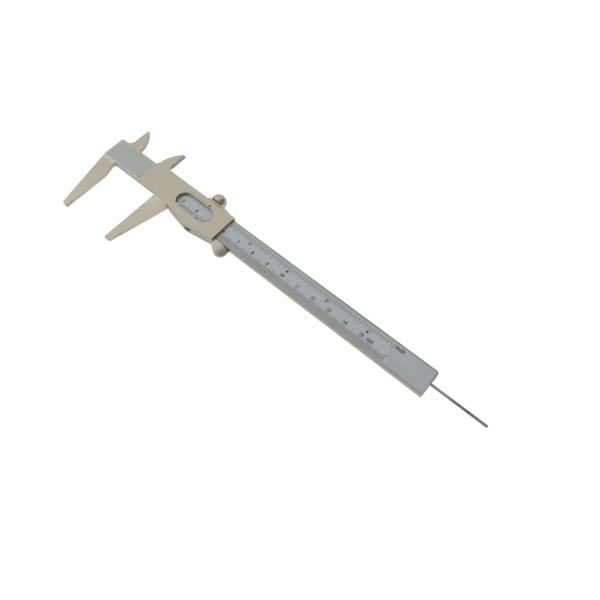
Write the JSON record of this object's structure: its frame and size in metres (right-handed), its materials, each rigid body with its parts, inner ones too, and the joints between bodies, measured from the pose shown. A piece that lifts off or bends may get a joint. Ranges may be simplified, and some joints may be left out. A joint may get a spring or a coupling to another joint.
{
  "type": "vernier caliper",
  "caption": "Vernier caliper with outside jaws, inside blades, depth rod, oval sight window, clamp screw and thumb rest on a sliding frame that runs along a graduated steel beam.",
  "frame": {"origin": "middle of the fixed outside measuring face, the zero datum of the scale", "axes": "+X along the beam, the way the slider opens; +Y towards the inside blades; +Z out of the scale face"},
  "size_m": [0.247, 0.064, 0.0087],
  "materials": {
    "beam_steel": "satin chrome",
    "slider_steel": "polished nickel",
    "clamp_steel": "polished nickel",
    "rod_steel": "drawn wire",
    "screw_steel": "turned",
    "spring_steel": "blued",
    "shoe_brass": "plain"
  },
  "bodies": {
    "beam": {"main_beam": "beam_steel", "rod_keeper": "slider_steel", "keeper_screws": "screw_steel"},
    "slider": {"slider_frame": "slider_steel", "slider_back_cover": "slider_steel", "cover_screws": "screw_steel", "depth_rod": "rod_steel", "thumb_rest": "slider_steel", "thumb_rest_rivets": "screw_steel", "friction_spring": "spring_steel"},
    "shoe": {"clamp_shoe": "shoe_brass"},
    "clamp": {"clamp_screw": "clamp_steel"}
  },
  "joints": [
    {"name": "slider_slide", "type": "slide", "parent": "beam", "child": "slider", "axis": [1, 0, 0], "range_m": [-0.03058, 0.12215]},
    {"name": "shoe_press", "type": "slide", "parent": "slider", "child": "shoe", "axis": [0, -1, 0], "range_m": [0, 0.000125]},
    {"name": "clamp_turn", "type": "hinge", "parent": "shoe", "child": "clamp", "pos_m": [0.0605, 0.03685, 0.0005], "axis": [0, -1, 0], "range_deg": [0, 90]}
  ],
  "couplings": [
    {"joint": "shoe_press", "follows": "clamp_turn", "m_per_rad": 0.0000795}
  ]
}
